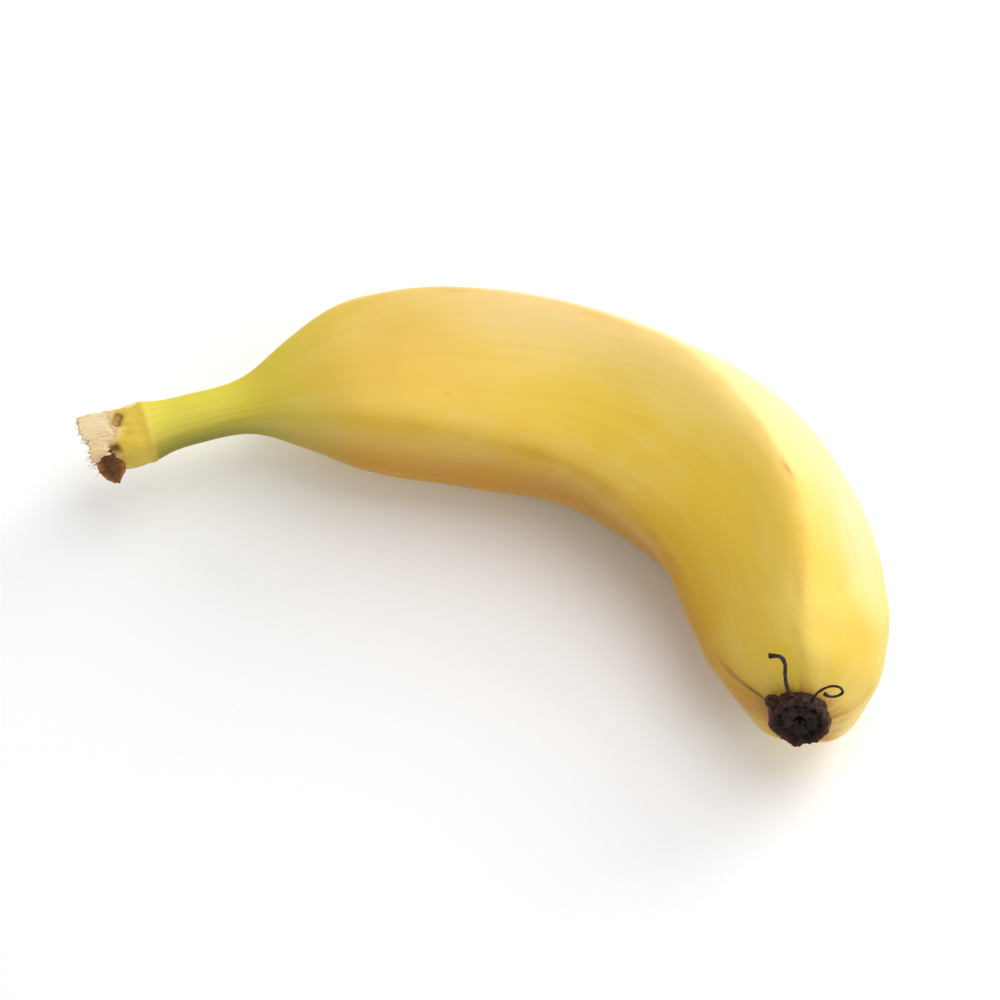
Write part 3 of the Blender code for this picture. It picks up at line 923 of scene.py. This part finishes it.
def build_thread(name, root_degrees, route, thickness, shape, look, replaced):
    """One dried thread, swept along its route: it is grooved, and thickens at its dry end."""
    run = np.linspace(0, 1, len(route))
    fine = np.linspace(0, 1, 90)
    line = np.stack([smooth(tuple(zip(run, column)), fine) for column in zip(*route)], -1) * MM
    edge = 0.98 * shape.cup_radius
    turn = math.radians(root_degrees)
    rim = CLEARANCE + shape.cup_height * (1 - CUP_SLANT * math.sin(turn) * 0.86)
    line += (edge * math.cos(turn), edge * math.sin(turn), 0.6 * rim)
    line = placed(line, cup_frame(shape))
    ahead = np.gradient(line, axis=0)
    ahead /= np.linalg.norm(ahead, axis=1)[:, None]
    side = np.cross(ahead, np.cross(ahead[45], ahead[10]) + (0.3, 0.1, 0.9))
    side /= np.linalg.norm(side, axis=1)[:, None]
    up = np.cross(side, ahead)
    around = 16
    angles = np.linspace(0, 2 * math.pi, around, endpoint=False)
    size = 0.5 * thickness * (1 + 0.35 * bump(fine, 0, 0.08) + 0.45 * bump(fine, 1, 0.07) - 0.08)
    rings = line[:, None] + size[:, None, None] * (
        np.cos(angles)[None, :, None] * side[:, None] + 0.8 * np.sin(angles)[None, :, None] * up[:, None]
    )
    dents = rough(rings, 1.1 * MM, 3)
    rings = line[:, None] + (rings - line[:, None]) * (1 + 0.22 * dents[..., None])
    mesh = grid_mesh(name, rings, True, line[0] - 0.1 * MM * ahead[0], line[-1] + 0.15 * MM * ahead[-1])
    return add_piece(name, mesh, look, (replaced,))


# Stage


def aimed(obj, target):
    way = (target - obj.location).normalized()
    obj.rotation_euler = way.to_track_quat("-Z", "Y").to_euler()


def add_light(name, place, target, size, power, tint):
    light = bpy.data.lights.new(name, "AREA")
    light.shape = "DISK"
    light.size = size
    light.energy = power
    light.color = tint
    obj = bpy.data.objects.new(name, light)
    bpy.context.scene.collection.objects.link(obj)
    obj.location = place
    aimed(obj, target)
    return obj


def paper_material(floor):
    """Matt studio paper: faint grain and no gloss."""
    made, tree, shader = start_material(
        "studio_paper_matt", Metallic=0.0, IOR=1.45, Roughness=0.9, Specular_IOR_Level=0.2
    )
    grain = add_node(tree, "noise", add_node(tree, "place"), 900.0, 2.0, 0.5)
    base = layered(tree, floor, ((1.0, grain, (0.3, 0.7, 0.0, 0.03), "#E4E2E0"),))
    tree.links.new(base, shader.inputs["Base Color"])
    return made


def add_camera(stage):
    camera = bpy.data.cameras.new("camera")
    camera.lens = stage.lens
    camera.sensor_width = 36
    camera.clip_start = 0.01
    obj = bpy.data.objects.new("camera", camera)
    bpy.context.scene.collection.objects.link(obj)
    az, el, roll = stage.azimuth, stage.elevation, stage.roll
    back = Vector((math.sin(az) * math.cos(el), -math.cos(az) * math.cos(el), math.sin(el)))
    level = Vector((math.cos(az), math.sin(az), 0))
    rise = back.cross(level)
    right = math.cos(roll) * level + math.sin(roll) * rise
    up = back.cross(right)
    target = Vector((stage.target_x, stage.target_y, stage.target_z))
    made = Matrix((right, up, back)).transposed().to_4x4()
    made.translation = target + stage.distance * back
    obj.matrix_world = made
    bpy.context.scene.camera = obj
    return obj, right, up


# Operators


class BANANA_OT_peel(bpy.types.Operator):
    """Builds the peel from the torn heel to the tip"""

    bl_idname = "banana.peel"
    bl_label = "Peel"

    def execute(self, context):
        scene = context.scene
        build_peel(scene.banana_shape, peel_material(scene.banana_colours))
        return {"FINISHED"}


class BANANA_OT_heel(bpy.types.Operator):
    """Builds the loose fibres, the dried flap and the torn strip at the heel"""

    bl_idname = "banana.heel"
    bl_label = "Torn heel"

    def execute(self, context):
        scene = context.scene
        build_fibres(scene.banana_shape, pith_material(scene.banana_colours))
        build_crown(scene.banana_shape, scene.banana_colours)
        return {"FINISHED"}


class BANANA_OT_flower(bpy.types.Operator):
    """Builds the dried flower and its scale"""

    bl_idname = "banana.flower"
    bl_label = "Dried flower"

    def execute(self, context):
        scene = context.scene
        build_flower(scene.banana_shape, scene.banana_colours)
        build_bract(scene.banana_shape, scene.banana_colours)
        return {"FINISHED"}


class BANANA_OT_threads(bpy.types.Operator):
    """Builds the two dried threads of the flower"""

    bl_idname = "banana.threads"
    bl_label = "Dried threads"

    def execute(self, context):
        shape, colours = context.scene.banana_shape, context.scene.banana_colours
        look = dried_material("banana_thread_dry", colours.flower, colours.thread, 0.6, 0.5, 0.1)
        build_thread(
            "thread_hooked", HOOK_ROOT, HOOK_ROUTE, shape.thread_thickness, shape, look, "filament_hooked"
        )
        build_thread(
            "thread_looped", LOOP_ROOT, LOOP_ROUTE, shape.fine_thread, shape, look, "filament_looped"
        )
        return {"FINISHED"}


class BANANA_OT_stage(bpy.types.Operator):
    """Adds the paper floor, the lights and the camera"""

    bl_idname = "banana.stage"
    bl_label = "Stage"

    def execute(self, context):
        scene = context.scene
        stage = scene.banana_stage
        turn = np.linspace(0, 2 * math.pi, 64, endpoint=False)
        rings = np.stack([r * np.stack([np.cos(turn), np.sin(turn), 0 * turn], 1) for r in (4.0, 0.5)])
        floor = bpy.data.objects.new("floor", grid_mesh("floor", rings, True, None, (0, 0, 0)))
        floor.data.materials.append(paper_material(stage.floor))
        scene.collection.objects.link(floor)

        world = bpy.data.worlds.new("pale_room")
        world.use_nodes = True
        background = world.node_tree.nodes["Background"]
        background.inputs["Color"].default_value = linear("#F6F7FA")
        background.inputs["Strength"].default_value = stage.room
        scene.world = world

        _, right, up = add_camera(stage)
        middle = Vector((stage.target_x, stage.target_y, stage.target_z))
        back = Vector((up.x, up.y, 0)).normalized()
        key = middle + 0.22 * right + 0.22 * back + Vector((0, 0, 0.85))
        sheen = middle + 0.52 * right + 0.55 * back + Vector((0, 0, 0.28))
        fill = middle + 0.60 * right - 0.50 * back + Vector((0, 0, 0.36))
        add_light("key", key, middle, 0.8, stage.key_power, (1.0, 0.985, 0.96))
        add_light("sheen", sheen, middle, 0.7, stage.sheen_power, (1.0, 0.99, 0.98))
        add_light("fill", fill, middle, 0.7, stage.fill_power, (1.0, 0.99, 0.98))
        scene.view_settings.view_transform = "Standard"
        return {"FINISHED"}


OPERATORS = (BANANA_OT_peel, BANANA_OT_heel, BANANA_OT_flower, BANANA_OT_threads, BANANA_OT_stage)


class BANANA_PT_panel(bpy.types.Panel):
    """Sizes, colours and steps of the banana"""

    bl_idname = "BANANA_PT_panel"
    bl_label = "Banana"
    bl_space_type = "VIEW_3D"
    bl_region_type = "UI"
    bl_category = "Banana"

    def draw(self, context):
        for operator in OPERATORS:
            self.layout.operator(operator.bl_idname)
        for group in (context.scene.banana_shape, context.scene.banana_colours, context.scene.banana_stage):
            box = self.layout.box()
            for name in group.__annotations__:
                box.prop(group, name)


GROUPS = {"banana_shape": BananaShape, "banana_colours": BananaColours, "banana_stage": BananaStage}
CLASSES = (*GROUPS.values(), *OPERATORS, BANANA_PT_panel)


def register():
    for made in CLASSES:
        bpy.utils.register_class(made)
    for name, group in GROUPS.items():
        setattr(bpy.types.Scene, name, bpy.props.PointerProperty(type=group))


def unregister():
    for name in GROUPS:
        delattr(bpy.types.Scene, name)
    for made in reversed(CLASSES):
        bpy.utils.unregister_class(made)


def main():
    register()
    for operator in OPERATORS:
        group, step_name = operator.bl_idname.split(".")
        getattr(getattr(bpy.ops, group), step_name)()


if __name__ == "__main__":
    main()
